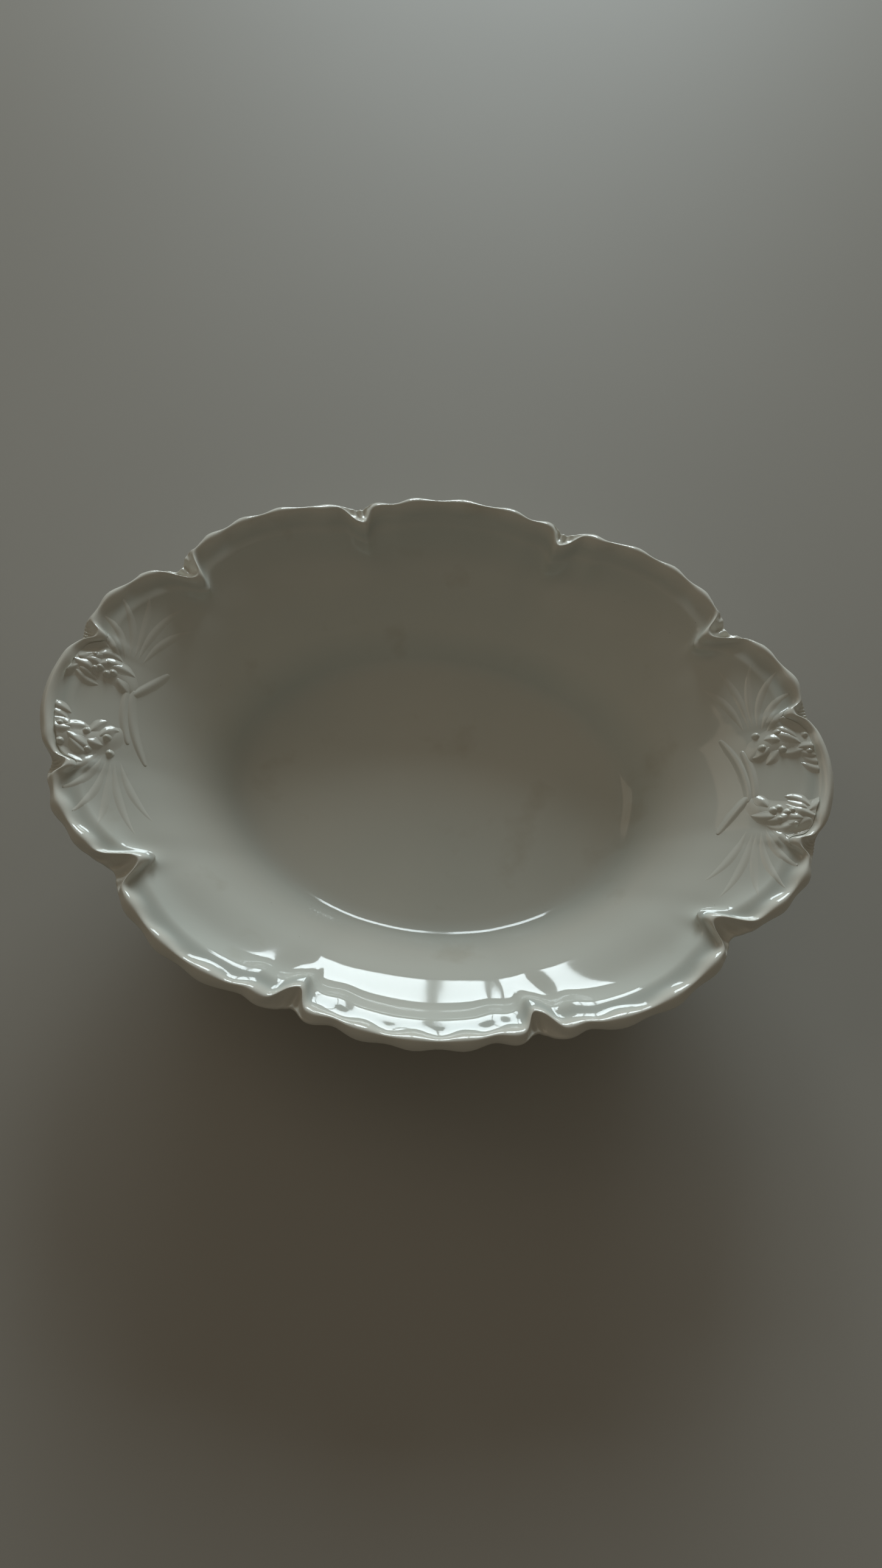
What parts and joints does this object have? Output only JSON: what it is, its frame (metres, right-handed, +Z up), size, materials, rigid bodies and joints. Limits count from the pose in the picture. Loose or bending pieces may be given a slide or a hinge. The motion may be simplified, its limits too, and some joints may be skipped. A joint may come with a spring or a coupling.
{
  "type": "oval porcelain serving bowl",
  "caption": "Oval open serving bowl with a lobed, rolled rim, sloping walls, a flat well on a low foot ring and a wreath in low relief at each end.",
  "frame": {"origin": "on the table, under the middle of the foot ring", "axes": "+X along the bowl's length towards the right-hand wreath, +Y across its width, +Z up"},
  "size_m": [0.2526, 0.197, 0.052],
  "materials": {
    "glazed_porcelain": "clear gloss glaze over white porcelain",
    "foot_porcelain": "glazed, with the standing edge wiped bare"
  },
  "bodies": {
    "root": {"bowl_body": "glazed_porcelain", "foot_ring": "foot_porcelain", "left_palmette_far": "glazed_porcelain", "left_palmette_near": "glazed_porcelain", "left_stems": "glazed_porcelain", "left_wreath_far": "glazed_porcelain", "left_wreath_near": "glazed_porcelain", "right_palmette_far": "glazed_porcelain", "right_palmette_near": "glazed_porcelain", "right_stems": "glazed_porcelain", "right_wreath_far": "glazed_porcelain", "right_wreath_near": "glazed_porcelain"}
  },
  "joints": []
}
